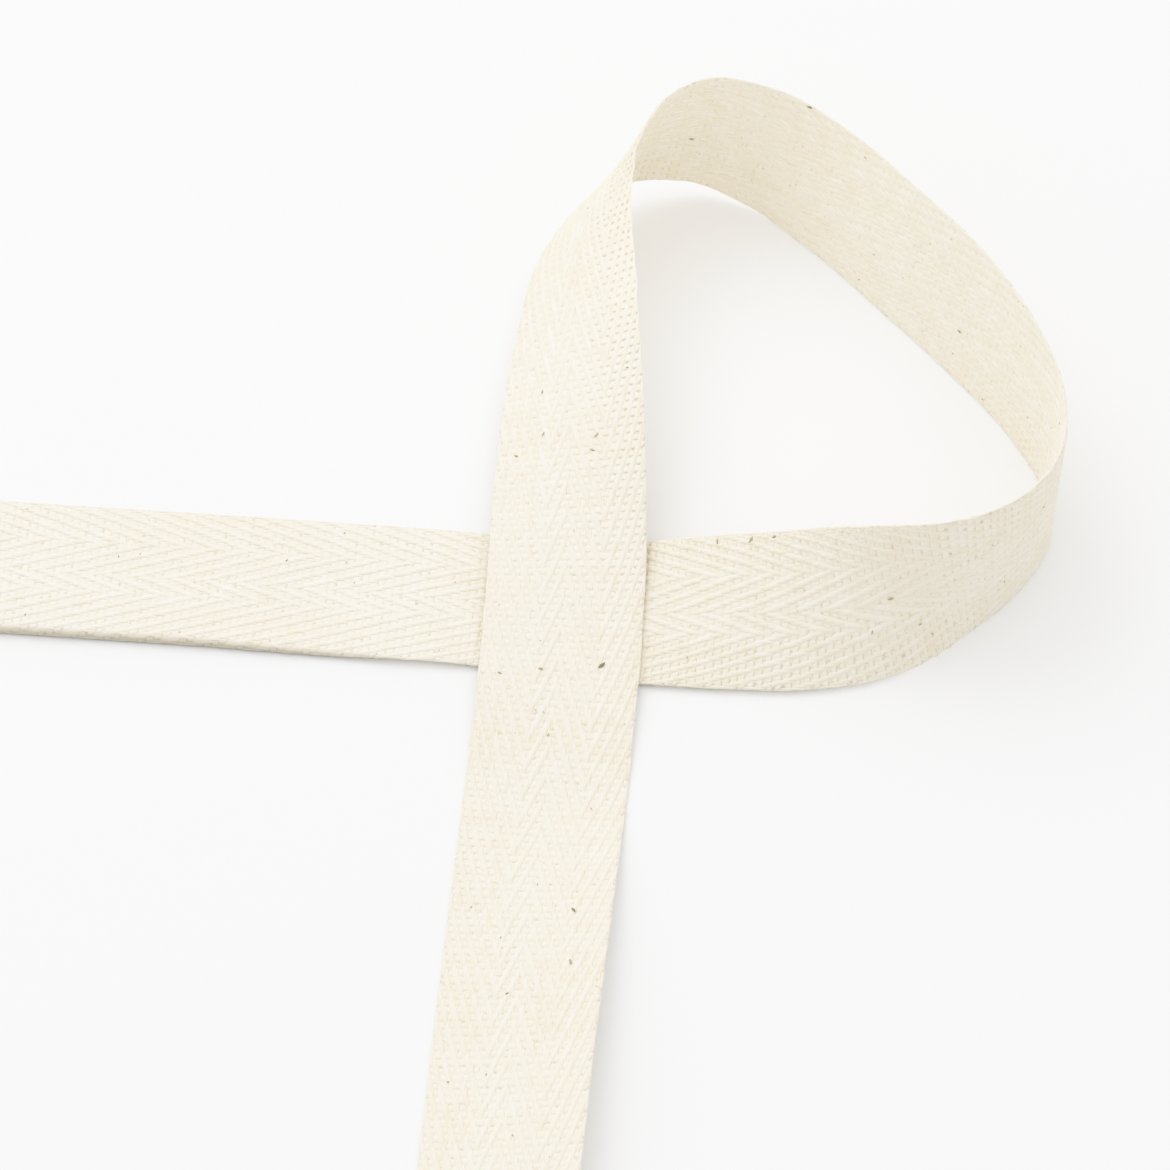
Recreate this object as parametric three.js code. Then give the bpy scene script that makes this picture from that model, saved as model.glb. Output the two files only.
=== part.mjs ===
// A length of woven herringbone tape lying on a surface in one open, crossed loop.
// Millimetres, +Z up. +X runs along the first run to the right, and +Y points away from the viewer. The origin is
// the middle of the tape's box, at the surface it lies on.
import * as THREE from "three";

const TAPE_WIDTH = 20;
const TAPE_THICKNESS = 1;
const STEPS_PER_SPAN = 5;
const STRIPS_ACROSS = 4;
const CROSSING = { x: 7.9, y: 14.4 };
const CLOTH_COLOUR = 0xf1ebdc;

// The way of the tape from its left end to its near end, one row for each section.
// x, y: plan of the middle line from the crossing. lift: height of the section's lowest corner over the surface.
// roll: turn of the width about the middle line in degrees, 0 lying flat, 90 standing on edge, more leaning outward.
const SECTIONS = [
  // left end and first run, flat on the surface
  { x: -78.0, y: 5.9, lift: 0.0, roll: 0 },
  { x: -45.0, y: 3.3, lift: 0.0, roll: 0 },
  { x: -12.0, y: 0.4, lift: 0.0, roll: 0 },
  // under the crossing, and rising onto its outer edge
  { x: 9.5, y: -2.7, lift: 0.0, roll: 8 },
  { x: 19.5, y: -3.9, lift: 0.0, roll: 19 },
  { x: 29.5, y: -5.1, lift: 0.0, roll: 33 },
  { x: 39.0, y: -5.4, lift: 0.0, roll: 54 },
  { x: 48.7, y: -3.2, lift: 0.0, roll: 78 },
  { x: 56.4, y: 1.8, lift: 0.0, roll: 88 },
  // round the right-hand end, standing on edge
  { x: 61.1, y: 9.0, lift: 0.0, roll: 91 },
  { x: 61.4, y: 17.3, lift: 0.0, roll: 94 },
  { x: 58.1, y: 26.8, lift: 0.0, roll: 100 },
  // the far side, leaning outward
  { x: 51.3, y: 38.1, lift: 0.0, roll: 107 },
  { x: 42.5, y: 49.0, lift: 0.0, roll: 109 },
  { x: 34.3, y: 58.1, lift: 0.0, roll: 109 },
  { x: 25.8, y: 64.8, lift: 0.3, roll: 104 },
  // the top bend, lifted off the surface and turning over
  { x: 18.0, y: 66.6, lift: 1.6, roll: 93 },
  { x: 11.3, y: 64.0, lift: 3.0, roll: 79 },
  { x: 6.4, y: 58.6, lift: 3.8, roll: 66 },
  { x: 3.4, y: 51.6, lift: 3.8, roll: 55 },
  // down towards the viewer, over the first run
  { x: 1.7, y: 38.0, lift: 3.2, roll: 39 },
  { x: 1.0, y: 20.0, lift: 2.8, roll: 20 },
  { x: 0.3, y: 0.0, lift: 2.2, roll: 4 },
  { x: -0.7, y: -14.0, lift: 1.3, roll: 0 },
  // near run, its right edge lifting a little towards the end
  { x: -2.0, y: -28.0, lift: 0.0, roll: 0 },
  { x: -3.6, y: -44.0, lift: 0.0, roll: 6 },
  { x: -5.2, y: -60.0, lift: 0.0, roll: 12 },
  { x: -8.7, y: -96.0, lift: 0.0, roll: 17 },
];

// Distance in plan from the first row to each row.
function knotsOf(rows) {
  const knots = [0];
  for (let i = 1; i < rows.length; i++) {
    const step = Math.hypot(rows[i].x - rows[i - 1].x, rows[i].y - rows[i - 1].y);
    knots.push(knots[i - 1] + step);
  }
  return knots;
}

// Slope of one column at each row, from the spans on both sides. A limited column keeps between its rows' values,
// so what is flat stays flat.
function slopesOf(rows, knots, column, limited) {
  const rise = rows.slice(1).map((row, i) => {
    return (row[column] - rows[i][column]) / (knots[i + 1] - knots[i]);
  });
  return rows.map((_, i) => {
    if (i === 0) return rise[0];
    if (i === rows.length - 1) return rise[i - 1];
    const before = knots[i] - knots[i - 1];
    const after = knots[i + 1] - knots[i];
    const slope = (rise[i - 1] * after + rise[i] * before) / (before + after);
    if (!limited) return slope;
    if (rise[i - 1] * rise[i] <= 0) return 0;
    const most = 3 * Math.min(Math.abs(rise[i - 1]), Math.abs(rise[i]));
    return Math.sign(slope) * Math.min(Math.abs(slope), most);
  });
}

// Value of a cubic piece at t of its span, with end values a and b and end slopes p and q over the span.
function cubic(t, a, b, p, q) {
  const t2 = t * t;
  const t3 = t2 * t;
  return (2 * t3 - 3 * t2 + 1) * a + (t3 - 2 * t2 + t) * p + (3 * t2 - 2 * t3) * b + (t3 - t2) * q;
}

// Stations along the tape: the middle of each section and its roll in radians.
function stationsOf(rows) {
  const knots = knotsOf(rows);
  const limited = { x: false, y: false, lift: true, roll: true };
  const slopes = {};
  for (const column in limited) slopes[column] = slopesOf(rows, knots, column, limited[column]);
  const stations = [];
  for (let i = 0; i < rows.length - 1; i++) {
    const span = knots[i + 1] - knots[i];
    const last = i === rows.length - 2 ? STEPS_PER_SPAN : STEPS_PER_SPAN - 1;
    for (let k = 0; k <= last; k++) {
      const at = (column) => {
        const ends = [slopes[column][i] * span, slopes[column][i + 1] * span];
        return cubic(k / STEPS_PER_SPAN, rows[i][column], rows[i + 1][column], ...ends);
      };
      const roll = THREE.MathUtils.degToRad(at("roll"));
      const rise = (TAPE_WIDTH * Math.abs(Math.sin(roll)) + TAPE_THICKNESS * Math.abs(Math.cos(roll))) / 2;
      stations.push({ middle: new THREE.Vector3(at("x"), at("y"), at("lift") + rise), roll });
    }
  }
  return stations;
}

// Corner points of one section, out along the upper face and back along the lower one.
function ringAt(stations, i) {
  const before = stations[Math.max(i - 1, 0)].middle;
  const after = stations[Math.min(i + 1, stations.length - 1)].middle;
  const { middle, roll } = stations[i];
  const along = after.clone().sub(before).normalize();
  const level = new THREE.Vector3(0, 0, 1).cross(along).normalize();
  const width = level.applyAxisAngle(along, roll);
  const normal = along.clone().cross(width);
  const face = (side) => {
    const points = [];
    for (let j = 0; j <= STRIPS_ACROSS; j++) {
      const across = TAPE_WIDTH * (j / STRIPS_ACROSS - 0.5);
      points.push(middle.clone().addScaledVector(width, across).addScaledVector(normal, (side * TAPE_THICKNESS) / 2));
    }
    return points;
  };
  return [...face(1), ...face(-1).reverse()];
}

// One closed solid through all the sections, with plain cut ends.
function tapeGeometry(rows) {
  const stations = stationsOf(rows);
  const rings = stations.map((_, i) => ringAt(stations, i));
  const count = rings[0].length;
  const corners = rings.flat().flatMap((point) => point.toArray());
  const faces = [];
  for (let i = 0; i < rings.length - 1; i++) {
    for (let j = 0; j < count; j++) {
      const a = i * count + j;
      const b = i * count + ((j + 1) % count);
      faces.push(a, a + count, b, b, a + count, b + count);
    }
  }
  const end = (rings.length - 1) * count;
  for (let j = 0; j < STRIPS_ACROSS; j++) {
    const across = count - 1 - j;
    faces.push(j, j + 1, across, j + 1, across - 1, across);
    faces.push(end + j, end + across, end + j + 1, end + j + 1, end + across, end + across - 1);
  }
  const geometry = new THREE.BufferGeometry();
  geometry.setAttribute("position", new THREE.Float32BufferAttribute(corners, 3));
  geometry.setIndex(faces);
  geometry.computeVertexNormals();
  return geometry;
}

const cloth = new THREE.MeshStandardMaterial({ color: CLOTH_COLOUR, roughness: 0.95, metalness: 0 });
const tape = new THREE.Mesh(tapeGeometry(SECTIONS), cloth);
tape.name = "tape";
tape.position.set(CROSSING.x, CROSSING.y, 0);

const part = new THREE.Group();
part.add(tape);

export default part;
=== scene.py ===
import math

import bpy
import numpy as np
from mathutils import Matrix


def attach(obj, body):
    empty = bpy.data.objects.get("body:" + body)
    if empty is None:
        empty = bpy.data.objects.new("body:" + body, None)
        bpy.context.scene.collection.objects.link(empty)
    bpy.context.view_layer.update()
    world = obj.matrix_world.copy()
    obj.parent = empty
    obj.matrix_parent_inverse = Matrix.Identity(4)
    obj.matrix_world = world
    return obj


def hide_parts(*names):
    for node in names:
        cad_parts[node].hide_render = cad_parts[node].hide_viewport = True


# A length of undyed cotton herringbone tape, laid in one open loop that crosses over itself. It is built
# yarn by yarn: the warp ends, the weft that runs back and forth through them, a thin web of packed fibre
# between the yarns, seed flecks, loose fibres and the frayed cut ends.
#
# Sizes are in millimetres and Blender gets metres. A place on the tape is given by three numbers: along it
# from its left end, across it from its middle line towards the loop's inner edge, and up from its middle
# towards its face.

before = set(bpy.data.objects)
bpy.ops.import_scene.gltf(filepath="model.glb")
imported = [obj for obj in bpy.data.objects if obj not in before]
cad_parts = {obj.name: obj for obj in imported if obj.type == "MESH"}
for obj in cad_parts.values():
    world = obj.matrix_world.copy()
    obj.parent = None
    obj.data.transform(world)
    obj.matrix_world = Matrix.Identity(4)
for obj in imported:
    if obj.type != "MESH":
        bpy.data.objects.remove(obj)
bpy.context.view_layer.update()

MM = 0.001

# the tape: its size, the spacing of its picks, the warp ends in each herringbone band, and the margin that
# the outermost ends leave to the edge
TAPE_WIDTH = 20.0
TAPE_THICKNESS = 0.62
PICK = 1.04
BANDS = (16, 13, 7, 20)
SELVEDGE = 0.12
CROSSING = (7.9, 14.4)

# The way of the tape: x, y in plan from the crossing, height of the section's lowest corner over the floor,
# and the turn of its width about its middle line in degrees, 0 lying flat and 90 standing on edge.
SECTIONS = (
    (-78.0, 5.7, 0.0, -2.7),
    (-45.0, 3.1, 0.0, -2.6),
    (-28.0, 1.75, 0.05, -1.5),
    (-12.0, 0.35, 0.25, -0.6),
    (9.5, -2.7, 0.3, 8),
    (19.5, -3.9, 0.3, 19),
    (29.5, -5.1, 0.2, 33),
    (39.0, -5.4, 0.05, 54),
    (48.7, -3.2, 0.0, 78),
    (56.4, 1.8, 0.0, 88),
    (61.1, 9.0, 0.0, 91),
    (61.4, 17.3, 0.0, 94),
    (58.1, 26.8, 0.0, 100),
    (51.3, 38.1, 0.0, 107),
    (42.5, 49.0, 0.0, 109),
    (34.3, 58.1, 0.0, 109),
    (25.8, 64.8, 0.3, 104),
    (18.0, 66.6, 1.6, 93),
    (11.3, 64.0, 2.8, 79),
    (6.4, 58.6, 3.5, 66),
    (3.4, 51.6, 3.5, 55),
    (1.7, 38.0, 2.7, 39),
    (1.0, 20.0, 2.2, 20),
    (0.3, 0.0, 1.65, 4),
    (-0.7, -14.0, 1.0, 0),
    (-2.0, -28.0, 0.0, 0),
    (-3.6, -44.0, 0.0, 6),
    (-5.2, -60.0, 0.0, 11),
    (-8.6, -96.0, 0.0, 15),
)

# which of those four columns must not overshoot between two sections, and the stations in each span
LIMITED = (False, False, True, True)
STEPS_PER_SPAN = 40

# The near selvedge of the first run is turned down: radius and angle of the bend, distance along the tape
# with the width of the strip that is turned there, and the factor of painted shade on the cotton's colour
# there.
TURN_RADIUS = 0.45
TURN_ANGLE = math.radians(83)
TURNED_DOWN = ((0, 1.3), (34, 1.25), (45, 0.95), (53, 0.7), (64, 0.0))
TURN_PAINTED_SHADE = (0.59, 0.575, 0.53, 1)

# distance along the tape, and the share by which it lies wider there, pulled flat
PULLED_WIDE = ((0, 0.04), (45, 0.04), (75, 0.0))

# Warp ends: half width as a share of an end's room, half height, how far an end rises over a pick, and how
# far it leans along its rib as a share of its room.
WARP_HALF_WIDTH = 0.95
WARP_HALF_HEIGHT = 0.165
WARP_CRIMP = 0.108
SLANT = 0.25
RINGS_PER_PICK = 2

# weft
WEFT_HALF_WIDTH = 0.53
WEFT_HALF_HEIGHT = 0.13
WEFT_CRIMP = 0.06

# Where the weft turns at a selvedge: shares of a pick, how far inside the edge, how near the edge counts as
# the turn, and the yarn's radius there.
WEFT_TURN_PICKS = (0.12, 0.5, 0.88)
WEFT_TURN_INSETS = (0.18, 0.14, 0.18)
WEFT_TURN_LIMIT = 0.19
WEFT_TURN_RADIUS = 0.11

# sides of a yarn's section, and the web of packed fibre between the yarns
RING_SIDES = 6
GROUND_HALF_HEIGHT = 0.12
GROUND_ROWS = 800
GROUND_COLUMNS = 20

# The outermost ends are packed closer. Over these distances from the middle line they get straighter: their
# crimp and their width drop by these shares.
SELVEDGE_PACKING = 0.30
SELVEDGE_CALM = (9.0, 9.8)
CALM_CRIMP = 0.5
CALM_WIDTH = 0.3

# length of the loose warp ends past the last pick, and how fast their crimp fades there
FRAY = (0.35, 1.0)
FRAY_FADE = 0.6

# Unevenness, each as an amount and the number of samples over which it changes. Thickness is a share. A
# pick's bow across the tape is also tilted, by this share of it.
PICK_DRIFTS = (0.10, 9)
PICK_BOWS = (0.22, 40)
BOW_TILT = 0.5
WARP_HEIGHTS = (0.02, 3)
WARP_SIDEWAYS = (0.045, 5)
WARP_THICKNESS_SLOW = (0.10, 9)
WARP_THICKNESS_FAST = (0.12, 3)
WARP_TONES = (0.16, 30)
WEFT_SLIPS = (0.03, 6)
WEFT_THICKNESS_SLOW = (0.10, 60)
WEFT_THICKNESS_FAST = (0.16, 2.5)
WEFT_TONES_SLOW = (0.2, 400)
WEFT_TONES_FAST = (0.12, 3)

# middle tone of the warp and of the weft, the weft's a little lower as painted shade of the valleys it lies
# in, and how much one end differs from another
WARP_TONE = 0.45
WARP_TONE_EACH = 0.16
WEFT_TONE = 0.42

# painted shade along the tape: distance along it, and how much paler (above 0) or darker and yellower (below
# 0) the cotton is painted there, most on the low run and inside the top bend
SHADE_ALONG = (
    (0, 0.0),
    (82, 0.0),
    (94, -0.12),
    (132, -0.10),
    (158, 0.0),
    (205, -0.05),
    (238, -0.22),
    (262, -0.05),
    (396, -0.08),
)

# colours of each ramp with their places on it, the darkest first
COTTON_COLOURS = (
    (0.0, (0.80, 0.68, 0.49, 1)),
    (0.3, (0.845, 0.74, 0.56, 1)),
    (0.62, (0.875, 0.795, 0.64, 1)),
    (1.0, (0.91, 0.845, 0.725, 1)),
)
# painted shade: the depth between the yarns is coloured darker than the yarns, for the shade in the recesses
DEPTH_SHADE_COLOURS = (
    (0.32, (0.66, 0.55, 0.40, 1)),
    (0.48, (0.86, 0.77, 0.62, 1)),
)
SEED_COLOURS = (
    (0.0, (0.03, 0.022, 0.012, 1)),
    (1.0, (0.46, 0.37, 0.22, 1)),
)

# Patches of colour, with noise scales per metre, and the fine relief of the fibres that wind round a yarn:
# their twist, and how the noise is stretched round the yarn and along it.
BLOTCH_SCALE = 260
BLOTCH_DETAIL = 3
BLOTCH_SHARE = 0.5
DEPTH_SCALE = 1500
DEPTH_DETAIL = 2
YARN_TWIST = math.radians(24)
YARN_STRETCH = (14, 1.6, 1)
YARN_DETAIL = 4
YARN_ROUGHNESS = 0.6
YARN_RELIEF = 0.03
YARN_RELIEF_STRENGTH = 0.3

# surfaces
COTTON_SURFACE = {
    "Roughness": 0.85,
    "Specular IOR Level": 0.25,
    "Sheen Weight": 0.25,
    "Sheen Roughness": 0.5,
}
DEPTH_SURFACE = {"Roughness": 0.95}
SEED_SURFACE = {"Roughness": 0.6}
FLOOR_SURFACE = {"Base Color": (0.93, 0.93, 0.93, 1), "Roughness": 0.7}

# Seed flecks that show in the view: pixel across and down in the picture, length in mm, and how pale it is.
FLECKS = (
    (602, 663, 0.85, 0.35),
    (591, 448, 0.65, 0.85),
    (594, 434, 0.60, 0.90),
    (542, 433, 0.50, 0.75),
    (514, 455, 0.50, 0.90),
    (541, 390, 0.42, 0.55),
    (625, 367, 0.40, 0.65),
    (499, 671, 0.42, 0.60),
    (541, 666, 0.50, 0.75),
    (548, 733, 0.38, 0.60),
    (589, 807, 0.36, 0.90),
    (573, 908, 0.65, 0.45),
    (569, 960, 0.62, 0.80),
    (507, 991, 0.38, 0.60),
    (693, 141, 0.62, 0.60),
    (808, 109, 0.60, 0.50),
    (863, 158, 0.35, 0.75),
    (872, 256, 0.35, 0.80),
    (957, 331, 0.50, 0.60),
    (981, 400, 0.30, 0.70),
    (1026, 466, 0.25, 0.75),
    (994, 547, 0.30, 0.60),
    (1006, 583, 0.30, 0.60),
    (890, 600, 0.60, 0.90),
    (873, 634, 0.42, 0.90),
    (921, 626, 0.40, 0.90),
    (716, 541, 0.60, 0.70),
    (750, 539, 0.72, 0.90),
    (773, 536, 0.50, 0.75),
    (286, 559, 0.35, 0.40),
    (343, 531, 0.35, 0.80),
)
FLECK_STRETCH = 1.25

# the fainter flecks, anywhere on both sides: shortest length and how much longer some are, and paleness
FAINT_FLECKS = 260
FAINT_MARGIN = 2
FAINT_REACH = 9.5
FAINT_LENGTH = 0.12
FAINT_LENGTH_MORE = 0.25
FAINT_PALE = (0.25, 1.0)

# Shape of a fleck: how much it curves, its thickness along its length, half width as a share of its length,
# greatest half height, how deep it sits in the cloth, and how near the edge and the floor it may come.
FLECK_CURVE = 0.25
FLECK_SWELL = (0.35, 0.85, 1.0, 0.8, 0.3)
FLECK_SWELL_WANDER = 0.2
FLECK_HALF_WIDTH = (0.14, 0.26)
FLECK_HALF_HEIGHT = 0.055
FLECK_SINK = 0.01
FLECK_REACH = 9.8
FLECK_CLEARANCE = 0.005

# The search for the place on the cloth under a pixel: step, reach across and margin at the ends in mm. It
# takes the place nearest to the camera, with a small weight on the miss, out of those that miss the pixel by
# little more than the best one does, or by less than the least miss.
SEEK_STEP = 0.25
SEEK_REACH = 9.75
SEEK_END_MARGIN = 1
SEEK_MISS_MORE = 0.5
SEEK_MISS_LEAST = 2.5
SEEK_MISS_WEIGHT = 0.01

# Loose fibres: how many, the share at the selvedges, where they start across, length, turn against the
# tape's way, curl, how far one spreads past the edge, and how high it stands.
LOOSE_FIBRES = 150
FIBRE_RINGS = 9
FIBRE_RADIUS = 0.014
FIBRE_TAPER = (1.1, 0.6)
FIBRES_AT_EDGE = 0.6
FIBRE_EDGE_START = 9.85
FIBRE_FACE_START = 9.4
FIBRE_END_MARGIN = 5
FIBRE_LENGTH = (0.8, 2.8)
FIBRE_TURN = 1.3
FIBRE_CURL = 1.6
FIBRE_SPREAD = 0.35
FIBRE_RISE = (0.04, 0.35)
FIBRE_SINK = 0.03
FIBRE_TONES = (0.4, 0.9)

# view
CAMERA_ELEVATION = 55.0
CAMERA_DISTANCE = 750.0
FRAME_PIXELS = 1170
FOCAL_PIXELS = 6000.0
SENSOR = 36.0
CLIP_NEAR = 10.0
CLIP_FAR = 20000.0
AIM_FROM_CROSSING = (2.75, 2.75)
FILM_SHOULDER = 2.2
FILM_STEPS = 10

# Light: an even pale room that is a little brighter one way, one large soft lamp high over the far left, and
# a very faint one inside the loop for the light that comes through the cloth.
ROOM_LIGHT = 0.62
ROOM_BRIGHTER = (-0.05, 0.20, 0.11)
LAMP_PLACE = (-400, 600, 750)
LAMP_SIZE = 600
LAMP_POWER = 1.7
GLOW_PLACE = (22, 55, 28)
GLOW_SIZE = 15
GLOW_POWER = 0.0042
FLOOR_HALF = 1500

chance = np.random.RandomState(7)


def slopes_of(knots, values, limited):
    """Slope of a column at each section, from the spans on both sides. A limited one never overshoots."""
    rise = np.diff(values) / np.diff(knots)
    slopes = np.concatenate([rise[:1], np.zeros(len(values) - 2), rise[-1:]])
    for i in range(1, len(values) - 1):
        before = knots[i] - knots[i - 1]
        after = knots[i + 1] - knots[i]
        slope = (rise[i - 1] * after + rise[i] * before) / (before + after)
        if limited:
            most = 3 * min(abs(rise[i - 1]), abs(rise[i])) if rise[i - 1] * rise[i] > 0 else 0
            slope = math.copysign(min(abs(slope), most), slope)
        slopes[i] = slope
    return slopes


def unit(vectors):
    return vectors / np.linalg.norm(vectors, axis=-1, keepdims=True)


def distances_along(points):
    """Distance gone at each point of a row."""
    return np.concatenate([[0], np.cumsum(np.linalg.norm(np.diff(points, axis=0), axis=1))])


def route_of(sections):
    """Dense stations of the tape: distance along, middle, width direction and face direction at each."""
    rows = np.array(sections, float)
    knots = distances_along(rows[:, :2])
    steps = np.linalg.norm(np.diff(rows[:, :2], axis=0), axis=1)
    at = np.linspace(0, len(rows) - 1, (len(rows) - 1) * STEPS_PER_SPAN + 1)
    span = np.minimum(at.astype(int), len(rows) - 2)
    t = at - span
    length = steps[span]
    columns = []
    for values, limited in zip(rows.T, LIMITED):
        slopes = slopes_of(knots, values, limited)
        columns.append(
            (2 * t**3 - 3 * t**2 + 1) * values[span]
            + (t**3 - 2 * t**2 + t) * slopes[span] * length
            + (3 * t**2 - 2 * t**3) * values[span + 1]
            + (t**3 - t**2) * slopes[span + 1] * length
        )
    x, y, lift, turn = columns
    roll = np.radians(turn)
    rise = (TAPE_WIDTH * abs(np.sin(roll)) + TAPE_THICKNESS * abs(np.cos(roll))) / 2
    middle = np.stack([x + CROSSING[0], y + CROSSING[1], lift + rise], 1)
    along = unit(np.gradient(middle, axis=0))
    level = unit(np.cross([0, 0, 1], along))
    width = level * np.cos(roll)[:, None] + np.cross(along, level) * np.sin(roll)[:, None]
    return distances_along(middle), middle, width, np.cross(along, width)


GONE, MIDDLE, WIDTH_WAY, FACE_WAY = route_of(SECTIONS)
TAPE_LENGTH = GONE[-1]
ENDS = sum(BANDS)
PICKS = int(TAPE_LENGTH / PICK) - 1
FIRST_PICK = (TAPE_LENGTH - (PICKS - 1) * PICK) / 2


def looked_up(along, table):
    return np.stack([np.interp(along, GONE, table[:, i]) for i in range(3)], -1)


def turned_down(along, across, up):
    """Place across and up after the near selvedge has been bent down, and how far each place has turned."""
    places, widths = zip(*TURNED_DOWN)
    strip = np.interp(along, places, widths)
    places, shares = zip(*PULLED_WIDE)
    wide = 1 + np.interp(along, places, shares)
    across = across * wide
    beyond = np.maximum(-across - (TAPE_WIDTH / 2 * wide - strip), 0)
    turn = np.minimum(beyond / TURN_RADIUS, TURN_ANGLE)
    flap = beyond - turn * TURN_RADIUS
    out = TURN_RADIUS * np.sin(turn) + flap * np.cos(turn)
    drop = TURN_RADIUS * (1 - np.cos(turn)) + flap * np.sin(turn)
    return across + beyond - out - up * np.sin(turn), up * np.cos(turn) - drop, turn / TURN_ANGLE


def ways_at(along, across):
    """Directions across the cloth and up out of its face at places on the tape."""
    along, across = np.broadcast_arrays(along, across)
    turn = (turned_down(along, across, 0)[2] * TURN_ANGLE)[..., None]
    width = looked_up(along, WIDTH_WAY)
    face = looked_up(along, FACE_WAY)
    return width * np.cos(turn) + face * np.sin(turn), face * np.cos(turn) - width * np.sin(turn)


def placed(along, across, up):
    """Points in the frame, still in millimetres, for places on the tape."""
    along, across, up = np.broadcast_arrays(along, across, up)
    across, up = turned_down(along, across, up)[:2]
    width = looked_up(along, WIDTH_WAY)
    face = looked_up(along, FACE_WAY)
    return looked_up(along, MIDDLE) + width * across[..., None] + face * up[..., None]


def painted_shade_along(along):
    """Painted shade: the shift of the cotton's tone at a distance along the tape."""
    places, shifts = zip(*SHADE_ALONG)
    return np.interp(along, places, shifts)


def wander(rows, count, every):
    """Smooth random rows between -1 and 1, with a new value each so many samples."""
    knots = chance.uniform(-1, 1, (rows, int(count / every) + 3))
    at = np.arange(count) / every + chance.uniform(0, 1, (rows, 1))
    first = at.astype(int)
    t = at - first
    t = t * t * (3 - 2 * t)
    row = np.arange(rows)[:, None]
    return knots[row, first] * (1 - t) + knots[row, first + 1] * t


def uneven(rows, count, amount_and_every):
    """A wander by an amount, which changes over a number of samples."""
    amount, every = amount_and_every
    return amount * wander(rows, count, every)


def material_of(name, surface):
    """A material with its node tree and its shader, whose plain values are set."""
    material = bpy.data.materials.new(name)
    material.use_nodes = True
    tree = material.node_tree
    shader = tree.nodes["Principled BSDF"]
    for socket, value in surface.items():
        shader.inputs[socket].default_value = value
    return material, tree, shader


def attribute_of(tree, name):
    """The value that a mesh carries under a name."""
    node = tree.nodes.new("ShaderNodeAttribute")
    node.attribute_name = name
    return node.outputs["Fac"]


def noise_of(tree, place, scale, detail):
    noise = tree.nodes.new("ShaderNodeTexNoise")
    noise.inputs["Scale"].default_value = scale
    noise.inputs["Detail"].default_value = detail
    tree.links.new(place, noise.inputs["Vector"])
    return noise


def object_place(tree):
    return tree.nodes.new("ShaderNodeTexCoord").outputs["Object"]


def ramp_of(tree, value, colours):
    """A ramp through colours, each at its place, driven by a value."""
    ramp = tree.nodes.new("ShaderNodeValToRGB")
    stops = ramp.color_ramp.elements
    for stop, (place, colour) in zip((stops[0], stops[1]), (colours[0], colours[-1])):
        stop.position = place
        stop.color = colour
    for place, colour in colours[1:-1]:
        stops.new(place).color = colour
    tree.links.new(value, ramp.inputs["Fac"])
    return ramp.outputs["Color"]


def paint_turned_shade(tree, colour, shader):
    """Gives the shader a colour, with painted shade where the selvedge is turned down."""
    shaded = tree.nodes.new("ShaderNodeMixRGB")
    shaded.blend_type = "MULTIPLY"
    shaded.inputs["Color2"].default_value = TURN_PAINTED_SHADE
    tree.links.new(attribute_of(tree, "painted_shade"), shaded.inputs["Fac"])
    tree.links.new(colour, shaded.inputs["Color1"])
    tree.links.new(shaded.outputs["Color"], shader.inputs["Base Color"])


def twisted_fibres(tree, shader):
    """A fine relief of fibres that wind round the yarn."""
    yarn = tree.nodes.new("ShaderNodeUVMap")
    yarn.uv_map = "yarn"
    twist = tree.nodes.new("ShaderNodeMapping")
    twist.inputs["Rotation"].default_value = (0, 0, YARN_TWIST)
    tree.links.new(yarn.outputs["UV"], twist.inputs["Vector"])
    stretch = tree.nodes.new("ShaderNodeMapping")
    stretch.inputs["Scale"].default_value = YARN_STRETCH
    tree.links.new(twist.outputs["Vector"], stretch.inputs["Vector"])
    fibre = noise_of(tree, stretch.outputs["Vector"], 1, YARN_DETAIL)
    fibre.inputs["Roughness"].default_value = YARN_ROUGHNESS
    bump = tree.nodes.new("ShaderNodeBump")
    bump.inputs["Strength"].default_value = YARN_RELIEF_STRENGTH
    bump.inputs["Distance"].default_value = YARN_RELIEF * MM
    tree.links.new(fibre.outputs["Fac"], bump.inputs["Height"])
    tree.links.new(bump.outputs["Normal"], shader.inputs["Normal"])


def cotton_material():
    """Undyed spun cotton: cream with warmer and paler lengths, some random and some painted shade along the
    tape, painted shade on the turned selvedge, twisted fibres and a soft matt surface.
    """
    material, tree, shader = material_of("cotton_yarn", COTTON_SURFACE)
    blotch = noise_of(tree, object_place(tree), BLOTCH_SCALE, BLOTCH_DETAIL)
    blend = tree.nodes.new("ShaderNodeMath")
    blend.operation = "MULTIPLY_ADD"
    tree.links.new(blotch.outputs["Fac"], blend.inputs[0])
    blend.inputs[1].default_value = BLOTCH_SHARE
    tree.links.new(attribute_of(tree, "tone"), blend.inputs[2])
    paint_turned_shade(tree, ramp_of(tree, blend.outputs[0], COTTON_COLOURS), shader)
    twisted_fibres(tree, shader)
    return material


def ground_material():
    """The depth between the yarns: cotton with painted shade, darker than the yarns and here and there darker
    still.
    """
    material, tree, shader = material_of("cotton_depth_painted_shade", DEPTH_SURFACE)
    patch = noise_of(tree, object_place(tree), DEPTH_SCALE, DEPTH_DETAIL)
    paint_turned_shade(tree, ramp_of(tree, patch.outputs["Fac"], DEPTH_SHADE_COLOURS), shader)
    return material


def seed_material():
    """Seed coat, from near black to light brown."""
    material, tree, shader = material_of("seed_coat", SEED_SURFACE)
    colour = ramp_of(tree, attribute_of(tree, "tone"), SEED_COLOURS)
    tree.links.new(colour, shader.inputs["Base Color"])
    return material


def add_to_scene(name, data):
    thing = bpy.data.objects.new(name, data)
    bpy.context.scene.collection.objects.link(thing)
    return thing


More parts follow.
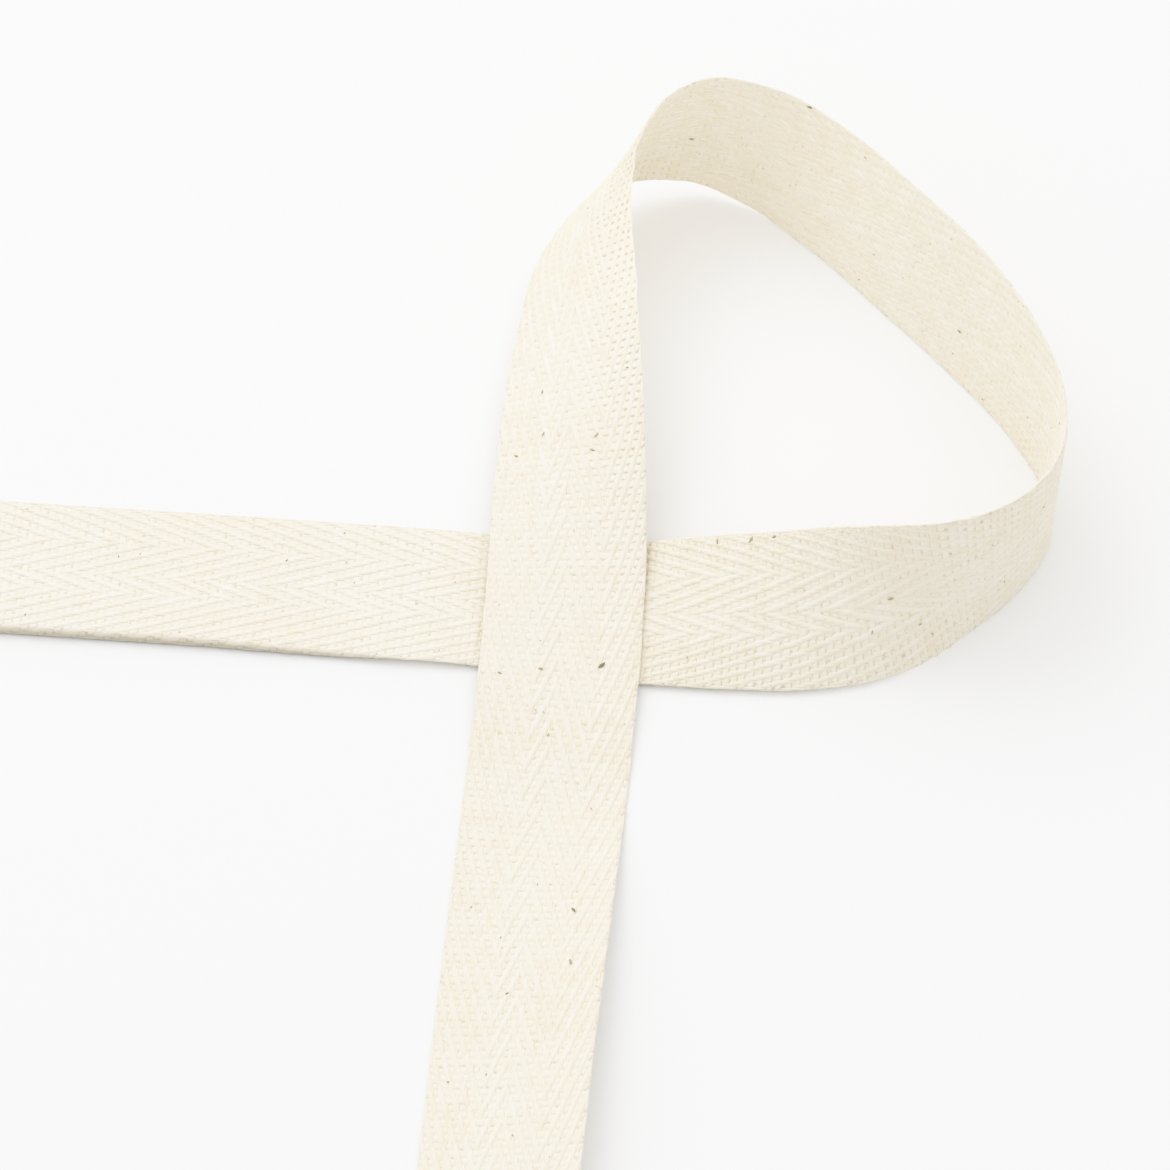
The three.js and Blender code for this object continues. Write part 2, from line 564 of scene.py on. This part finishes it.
def piece_of(name, points, faces, material, looks, corners=None):
    """A mesh object from points in millimetres and arrays of faces. Looks are named values for its points."""
    mesh = bpy.data.meshes.new(name)
    sizes = np.concatenate([np.full(len(block), block.shape[1]) for block in faces])
    loops = np.concatenate([block.ravel() for block in faces])
    mesh.vertices.add(len(points))
    mesh.vertices.foreach_set("co", (points * MM).astype(np.float32).ravel())
    mesh.loops.add(len(loops))
    mesh.loops.foreach_set("vertex_index", loops.astype(np.int32))
    mesh.polygons.add(len(sizes))
    starts = np.concatenate([[0], np.cumsum(sizes)[:-1]])
    mesh.polygons.foreach_set("loop_start", starts.astype(np.int32))
    mesh.polygons.foreach_set("use_smooth", np.ones(len(sizes), bool))
    mesh.update(calc_edges=True)
    for look, values in looks.items():
        attribute = mesh.attributes.new(look, "FLOAT", "POINT")
        attribute.data.foreach_set("value", values.astype(np.float32))
    if corners is not None:
        layer = mesh.uv_layers.new(name="yarn")
        layer.uv.foreach_set("vector", corners.astype(np.float32).ravel())
    mesh.materials.append(material)
    return add_to_scene(name, mesh)


def tubes(centres, side_way, half_width, half_height, distances):
    """Closed tubes with flat sections through rows of centres, with their faces and a UV for each corner."""
    rows, rings = centres.shape[:2]
    tangent = unit(np.gradient(centres, axis=1))
    side = unit(side_way - tangent * (side_way * tangent).sum(-1, keepdims=True))
    top = np.cross(tangent, side)
    turn = np.arange(RING_SIDES) * 2 * math.pi / RING_SIDES
    wide = np.cos(turn)[:, None] * half_width[..., None, None]
    high = np.sin(turn)[:, None] * half_height[..., None, None]
    points = centres[:, :, None] + side[:, :, None] * wide + top[:, :, None] * high
    index = np.arange(rows * rings * RING_SIDES).reshape(rows, rings, RING_SIDES)
    beyond = np.roll(index, -1, axis=2)
    walls = np.stack([index[:, :-1], beyond[:, :-1], beyond[:, 1:], index[:, 1:]], -1).reshape(-1, 4)
    caps = np.concatenate([index[:, 0, ::-1], index[:, -1]])
    around = np.arange(RING_SIDES) / RING_SIDES
    here = np.broadcast_to(around, (rows, rings - 1, RING_SIDES))
    there = here + 1 / RING_SIDES
    start = np.broadcast_to(distances[:, :-1, None], here.shape)
    end = np.broadcast_to(distances[:, 1:, None], here.shape)
    wall_corners = ((here, start), (there, start), (there, end), (here, end))
    wall_uv = np.stack([np.stack(corner, -1) for corner in wall_corners], -2).reshape(-1, 2)
    cap_uv = np.zeros((caps.size, 2))
    return points.reshape(-1, 3), [walls, caps], np.concatenate([wall_uv, cap_uv])


def phases():
    """The pick at which each end first comes up: each band slants the other way from the one before."""
    steps = np.concatenate([np.full(count, 1 if i % 2 == 0 else -1) for i, count in enumerate(BANDS)])
    return np.concatenate([[0], np.cumsum(steps[1:])])


PHASES = phases()


def is_up(end, pick):
    """Whether an end lies over a pick: over two and under two, one pick later at each end along a rib."""
    return (pick - PHASES[end]) % 4 < 2


def end_places():
    """Place across and width of each end: they are packed closer towards the two selvedges."""
    share = np.abs((np.arange(ENDS) + 0.5) / ENDS * 2 - 1)
    widths = 1 - SELVEDGE_PACKING * share**4
    widths *= (TAPE_WIDTH - 2 * SELVEDGE) / widths.sum()
    return TAPE_WIDTH / 2 - SELVEDGE - np.cumsum(widths) + widths / 2, widths


END_ACROSS, END_WIDTH = end_places()


# A slow unevenness of the picks along the tape, and a slight bow of each across it.
SPARE_PICKS = 4
PICK_DRIFT = uneven(1, PICKS + 2 * SPARE_PICKS, PICK_DRIFTS)[0]
PICK_BOW = uneven(1, PICKS + 2 * SPARE_PICKS, PICK_BOWS)[0]


def pick_along(pick, across):
    """Distance along the tape of a pick, whole or in between, at a place across."""
    index = np.arange(len(PICK_DRIFT)) - SPARE_PICKS
    share = across / (TAPE_WIDTH / 2)
    drift = np.interp(pick, index, PICK_DRIFT)
    bow = np.interp(pick, index, PICK_BOW)
    return FIRST_PICK + pick * PICK + drift + bow * (share**2 + BOW_TILT * share)


def leaning(ends, pick):
    """Sideways pull on an end at a pick, from -1 to 1: a float slants along its rib, then comes back."""
    return np.array((1.0, -1.0, -1.0, 1.0))[(pick - PHASES[ends]) % 4]


def looks_of(tone, along, across):
    """Tone of every point of rows of rings, and the painted shade where the selvedge is turned down."""
    painted_shade = turned_down(along, across, 0)[2]
    return {
        look: np.repeat(np.broadcast_to(values, along.shape).ravel(), RING_SIDES)
        for look, values in (("tone", tone), ("painted_shade", painted_shade))
    }


def warp_band(name, first, count, way, material):
    """The ends of one herringbone band, as far as the cut ends of the tape."""
    ends = np.arange(first, first + count)[:, None]
    rings = (PICKS + 1) * RINGS_PER_PICK + 1
    picks = np.arange(rings) / RINGS_PER_PICK - 1
    whole = np.floor(picks).astype(int)
    beyond = np.ceil(picks).astype(int)
    now = np.where(is_up(ends, whole), 1.0, -1.0)
    after = np.where(is_up(ends, beyond), 1.0, -1.0)
    height = WARP_CRIMP * (now + after) / 2
    lean = way * SLANT * END_WIDTH[ends] * (leaning(ends, whole) + leaning(ends, beyond)) / 2
    calm = np.interp(abs(END_ACROSS[ends]), SELVEDGE_CALM, (0, 1))
    height = height * (1 - CALM_CRIMP * calm) + uneven(count, rings, WARP_HEIGHTS)
    lean = lean * (1 - calm)
    across = END_ACROSS[ends] + lean + uneven(count, rings, WARP_SIDEWAYS)
    early, late = np.minimum(picks, 0), np.maximum(picks - (PICKS - 1), 0)
    fray = chance.uniform(*FRAY, (2, count, 1)) - PICK
    along = pick_along(picks, across) + early * fray[0] + late * fray[1]
    height = height * (1 + FRAY_FADE * (early - late))
    centres = placed(along, across, height)
    thick = 1 + uneven(count, rings, WARP_THICKNESS_SLOW) + uneven(count, rings, WARP_THICKNESS_FAST)
    half_width = WARP_HALF_WIDTH * END_WIDTH[ends] * thick * (1 - CALM_WIDTH * calm)
    half_height = WARP_HALF_HEIGHT * thick
    width = ways_at(along, across)[0]
    points, faces, corners = tubes(centres, width, half_width, half_height, along)
    each = WARP_TONE_EACH * chance.uniform(-1, 1, (count, 1))
    # tone: random per end and along it, plus the painted shade along the tape
    tone = WARP_TONE + each + uneven(count, rings, WARP_TONES) + painted_shade_along(along)
    return piece_of(name, points, faces, material, looks_of(tone, along, across), corners)


def weft_run(name, first, last, material):
    """The weft from one pick to another: straight through all the ends, round the last one and back again."""
    reach = TAPE_WIDTH / 2
    pick_places, across_places, heights = [], [], []
    ends = np.arange(ENDS)
    for pick in range(first, last):
        way = ends if pick % 2 == 0 else ends[::-1]
        pick_places.append(np.full(ENDS, float(pick)))
        across_places.append(END_ACROSS[way])
        heights.append(np.where(is_up(way, pick), -WEFT_CRIMP, WEFT_CRIMP))
        if pick < last - 1:
            edge = -1 if pick % 2 == 0 else 1
            pick_places.append(pick + np.array(WEFT_TURN_PICKS))
            across_places.append(edge * (reach - np.array(WEFT_TURN_INSETS)))
            heights.append(np.zeros(len(WEFT_TURN_PICKS)))
    picks = np.concatenate(pick_places)[None]
    across = np.concatenate(across_places)[None]
    height = np.concatenate(heights)[None]
    count = picks.shape[1]
    along = pick_along(picks, across) + uneven(1, count, WEFT_SLIPS)
    centres = placed(along, across, height)
    turning = abs(across) > reach - WEFT_TURN_LIMIT
    thick = 1 + uneven(1, count, WEFT_THICKNESS_SLOW) + uneven(1, count, WEFT_THICKNESS_FAST)
    half_width = np.where(turning, WEFT_TURN_RADIUS, WEFT_HALF_WIDTH) * thick
    half_height = np.where(turning, WEFT_TURN_RADIUS, WEFT_HALF_HEIGHT) * thick
    face = ways_at(along, across)[1]
    tangent = unit(np.gradient(centres, axis=1))
    gone = distances_along(centres[0])[None]
    points, faces, corners = tubes(centres, np.cross(face, tangent), half_width, half_height, gone)
    slow = uneven(1, count, WEFT_TONES_SLOW)
    # tone: random along the weft, plus the painted shade along the tape
    tone = WEFT_TONE + slow + uneven(1, count, WEFT_TONES_FAST) + painted_shade_along(along)
    return piece_of(name, points, faces, material, looks_of(tone, along, across), corners)


def ground_cloth(material):
    """The packed fibres between the yarns, a thin web in the middle of the cloth that no light passes,
    coloured with painted shade.
    """
    along = np.linspace(FIRST_PICK, TAPE_LENGTH - FIRST_PICK, GROUND_ROWS)[:, None]
    across = np.linspace(-1, 1, GROUND_COLUMNS + 1) * (TAPE_WIDTH / 2 - SELVEDGE)
    sheets = [placed(along, across, up) for up in (GROUND_HALF_HEIGHT, -GROUND_HALF_HEIGHT)]
    points = np.concatenate([sheet.reshape(-1, 3) for sheet in sheets])
    top = np.arange(along.size * across.size).reshape(along.size, across.size)
    low = top + top.size
    quads = [
        np.stack([top[:-1, :-1], top[1:, :-1], top[1:, 1:], top[:-1, 1:]], -1).reshape(-1, 4),
        np.stack([low[:-1, :-1], low[:-1, 1:], low[1:, 1:], low[1:, :-1]], -1).reshape(-1, 4),
        np.stack([top[:-1, -1], top[1:, -1], low[1:, -1], low[:-1, -1]], -1),
        np.stack([top[1:, 0], top[:-1, 0], low[:-1, 0], low[1:, 0]], -1),
        np.stack([top[0, 1:], low[0, 1:], low[0, :-1], top[0, :-1]], -1)[:, ::-1],
        np.stack([top[-1, 1:], low[-1, 1:], low[-1, :-1], top[-1, :-1]], -1),
    ]
    # painted shade where the selvedge is turned down, on both sheets
    painted_shade = np.tile(turned_down(along, across[None], 0)[2].ravel(), 2)
    return piece_of("ground_cloth", points, quads, material, {"painted_shade": painted_shade})


def eye_place():
    """The camera's place in millimetres, and its view, up and right directions."""
    tilt = math.radians(CAMERA_ELEVATION)
    view = np.array((0, math.cos(tilt), -math.sin(tilt)))
    aim = np.array((CROSSING[0] + AIM_FROM_CROSSING[0], CROSSING[1] + AIM_FROM_CROSSING[1], 0))
    up = np.array((0, math.sin(tilt), math.cos(tilt)))
    return aim - view * CAMERA_DISTANCE, view, up, np.array((1, 0, 0))


def seen_places(pixels):
    """Where the tape shows at each pixel: along, across, and side, 1 for the face and -1 for the back."""
    along = np.arange(SEEK_END_MARGIN, TAPE_LENGTH - SEEK_END_MARGIN, SEEK_STEP)
    across = np.arange(-SEEK_REACH, SEEK_REACH + SEEK_STEP / 2, SEEK_STEP)
    along, across = np.meshgrid(along, across, indexing="ij")
    eye, view, up, right = eye_place()
    offset = placed(along, across, 0) - eye
    side = -np.sign((offset * looked_up(along, FACE_WAY)).sum(-1))
    offset = placed(along, across, side * TAPE_THICKNESS / 2) - eye
    depth = offset @ view
    x = FRAME_PIXELS / 2 + FOCAL_PIXELS * (offset @ right) / depth
    y = FRAME_PIXELS / 2 - FOCAL_PIXELS * (offset @ up) / depth
    found = []
    for pixel in pixels:
        miss = np.hypot(x - pixel[0], y - pixel[1])
        near = miss < max(miss.min() + SEEK_MISS_MORE, SEEK_MISS_LEAST)
        hit = np.where(near, depth + miss * SEEK_MISS_WEIGHT, np.inf).argmin()
        found.append((along.flat[hit], across.flat[hit], side.flat[hit]))
    return np.array(found)


def flecks(material):
    """Bits of seed coat caught in the yarns: the ones that the view shows, and fainter ones on both sides."""
    shown = np.array(FLECKS)
    faint = np.stack(
        [
            chance.uniform(FAINT_MARGIN, TAPE_LENGTH - FAINT_MARGIN, FAINT_FLECKS),
            chance.uniform(-FAINT_REACH, FAINT_REACH, FAINT_FLECKS),
            chance.choice([-1.0, 1.0], FAINT_FLECKS),
        ],
        1,
    )
    along, across, side = np.concatenate([seen_places(shown[:, :2]), faint]).T[:, :, None]
    faint_length = FAINT_LENGTH + FAINT_LENGTH_MORE * chance.uniform(0, 1, FAINT_FLECKS) ** 2
    length = np.concatenate([FLECK_STRETCH * shown[:, 2], faint_length])[:, None]
    pale = np.concatenate([shown[:, 3], chance.uniform(*FAINT_PALE, FAINT_FLECKS)])
    turn = chance.uniform(0, math.pi, (len(pale), 1))
    bend = chance.uniform(-FLECK_CURVE, FLECK_CURVE, (len(pale), 1))
    rings = len(FLECK_SWELL)
    share = np.linspace(-0.5, 0.5, rings)
    swell = np.array(FLECK_SWELL) * (1 + FLECK_SWELL_WANDER * chance.uniform(-1, 1, (len(pale), rings)))
    run = length * share
    aside = length * bend * share**2
    along = along + run * np.cos(turn) - aside * np.sin(turn)
    across = np.clip(across + run * np.sin(turn) + aside * np.cos(turn), -FLECK_REACH, FLECK_REACH)
    centres = placed(along, across, side * (TAPE_THICKNESS / 2 - FLECK_SINK))
    tangent = unit(np.gradient(centres, axis=1))
    sideways = np.cross(looked_up(along, FACE_WAY), tangent)
    half_width = length * chance.uniform(*FLECK_HALF_WIDTH, length.shape) * swell
    half_height = np.minimum(half_width, FLECK_HALF_HEIGHT) * swell
    points, faces, corners = tubes(centres, sideways, half_width, half_height, run)
    points[:, 2] = np.maximum(points[:, 2], FLECK_CLEARANCE)
    tone = np.repeat(pale, rings * RING_SIDES)
    return piece_of("seed_flecks", points, faces, material, {"tone": tone}, corners)


def loose_fibres(material):
    """Fine fibre ends that stand off the cloth, most of them along its two selvedges."""
    count, rings = LOOSE_FIBRES, FIBRE_RINGS
    share = np.linspace(0, 1, rings)
    at_edge = chance.uniform(0, 1, (count, 1)) < FIBRES_AT_EDGE
    edge = chance.choice([-1.0, 1.0], (count, 1))
    on_face = chance.uniform(-FIBRE_FACE_START, FIBRE_FACE_START, (count, 1))
    start = np.where(at_edge, edge * FIBRE_EDGE_START, on_face)
    length = chance.uniform(*FIBRE_LENGTH, (count, 1))
    turn = chance.uniform(-1, 1, (count, 1)) * FIBRE_TURN + math.pi * chance.randint(0, 2, (count, 1))
    curl = chance.uniform(-FIBRE_CURL, FIBRE_CURL, (count, 1))
    side = chance.choice([-1.0, 1.0], (count, 1))
    heading = turn + curl * share
    first = chance.uniform(FIBRE_END_MARGIN, TAPE_LENGTH - FIBRE_END_MARGIN, (count, 1))
    along = first + np.cumsum(np.cos(heading), 1) * length / rings
    drift = np.cumsum(np.sin(heading), 1) * length / rings
    out = np.abs(drift) * FIBRE_SPREAD
    across = np.where(at_edge, start + edge * out, start + drift)
    rise = np.sin(share * math.pi) * chance.uniform(*FIBRE_RISE, (count, 1))
    up = np.where(at_edge, side * rise, side * (TAPE_THICKNESS / 2 - FIBRE_SINK + rise))
    centres = placed(along, across, up)
    centres[..., 2] = np.maximum(centres[..., 2], 2 * FIBRE_RADIUS)
    root, loss = FIBRE_TAPER
    radius = FIBRE_RADIUS * (root - loss * share) * np.ones((count, 1))
    points, faces, corners = tubes(centres, looked_up(along, WIDTH_WAY), radius, radius, share * length)
    tone = np.repeat(chance.uniform(*FIBRE_TONES, count), rings * RING_SIDES)
    return piece_of("loose_fibres", points, faces, material, {"tone": tone}, corners)


def camera():
    """The photo's view: from the front and above."""
    data = bpy.data.cameras.new("view")
    data.sensor_width = SENSOR
    data.lens = SENSOR * FOCAL_PIXELS / FRAME_PIXELS
    data.clip_start = CLIP_NEAR * MM
    data.clip_end = CLIP_FAR * MM
    eye = add_to_scene("view", data)
    eye.location = eye_place()[0] * MM
    eye.rotation_euler = (math.pi / 2 - math.radians(CAMERA_ELEVATION), 0, 0)
    bpy.context.scene.camera = eye


def floor():
    """A plain pale floor."""
    mesh = bpy.data.meshes.new("floor")
    half = FLOOR_HALF * MM
    corners = [(-half, -half, 0), (half, -half, 0), (half, half, 0), (-half, half, 0)]
    mesh.from_pydata(corners, [], [(0, 1, 2, 3)])
    mesh.materials.append(material_of("pale_floor", FLOOR_SURFACE)[0])
    add_to_scene("floor", mesh)


def room():
    """Even light from all round, a little brighter from above and behind the tape."""
    world = bpy.data.worlds.new("room")
    world.use_nodes = True
    nodes, links = world.node_tree.nodes, world.node_tree.links
    nodes["Background"].inputs["Color"].default_value = (1, 1, 1, 1)
    way = nodes.new("ShaderNodeTexCoord")
    brighter = nodes.new("ShaderNodeVectorMath")
    brighter.operation = "DOT_PRODUCT"
    links.new(way.outputs["Generated"], brighter.inputs[0])
    brighter.inputs[1].default_value = ROOM_BRIGHTER
    total = nodes.new("ShaderNodeMath")
    total.operation = "ADD"
    links.new(brighter.outputs["Value"], total.inputs[0])
    total.inputs[1].default_value = ROOM_LIGHT
    links.new(total.outputs[0], nodes["Background"].inputs["Strength"])
    bpy.context.scene.world = world


def lamp_of(name, kind, place, power):
    """A lamp at a place, and its data."""
    data = bpy.data.lights.new(name, kind)
    data.energy = power
    lamp = add_to_scene(name, data)
    lamp.location = np.array(place) * MM
    return lamp, data


def lights():
    """The room, the soft lamp turned towards the middle of the tape, and the faint glow in the loop."""
    room()
    lamp, data = lamp_of("softbox", "AREA", LAMP_PLACE, LAMP_POWER)
    data.shape = "SQUARE"
    data.size = LAMP_SIZE * MM
    x, y, z = LAMP_PLACE
    lamp.rotation_euler = (math.atan2(math.hypot(x, y), z), 0, math.atan2(x, -y))
    lamp_of("glow", "POINT", GLOW_PLACE, GLOW_POWER)[1].shadow_soft_size = GLOW_SIZE * MM


def film():
    """A high-key picture: brightness rises fast at first and levels off softly before white."""
    view = bpy.context.scene.view_settings
    view.view_transform = "Standard"
    view.use_curve_mapping = True
    all_channels = view.curve_mapping.curves[3]
    for light in np.arange(1, FILM_STEPS) / FILM_STEPS:
        all_channels.points.new(light, 1 - (1 - light) ** FILM_SHOULDER)
    view.curve_mapping.update()


camera()
floor()
lights()
film()
cotton = cotton_material()
ground = ground_cloth(ground_material())
yarns = []
first = 0
for number, count in enumerate(BANDS, 1):
    yarns.append(warp_band(f"warp_band_{number}", first, count, 1 if number % 2 else -1, cotton))
    first += count
half_way = PICKS // 2
yarns.append(weft_run("weft_first_half", 0, half_way, cotton))
yarns.append(weft_run("weft_second_half", half_way, PICKS, cotton))
yarns.append(flecks(seed_material()))
yarns.append(loose_fibres(cotton))

for piece in [ground, *yarns]:
    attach(piece, "root")
    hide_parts("tape")
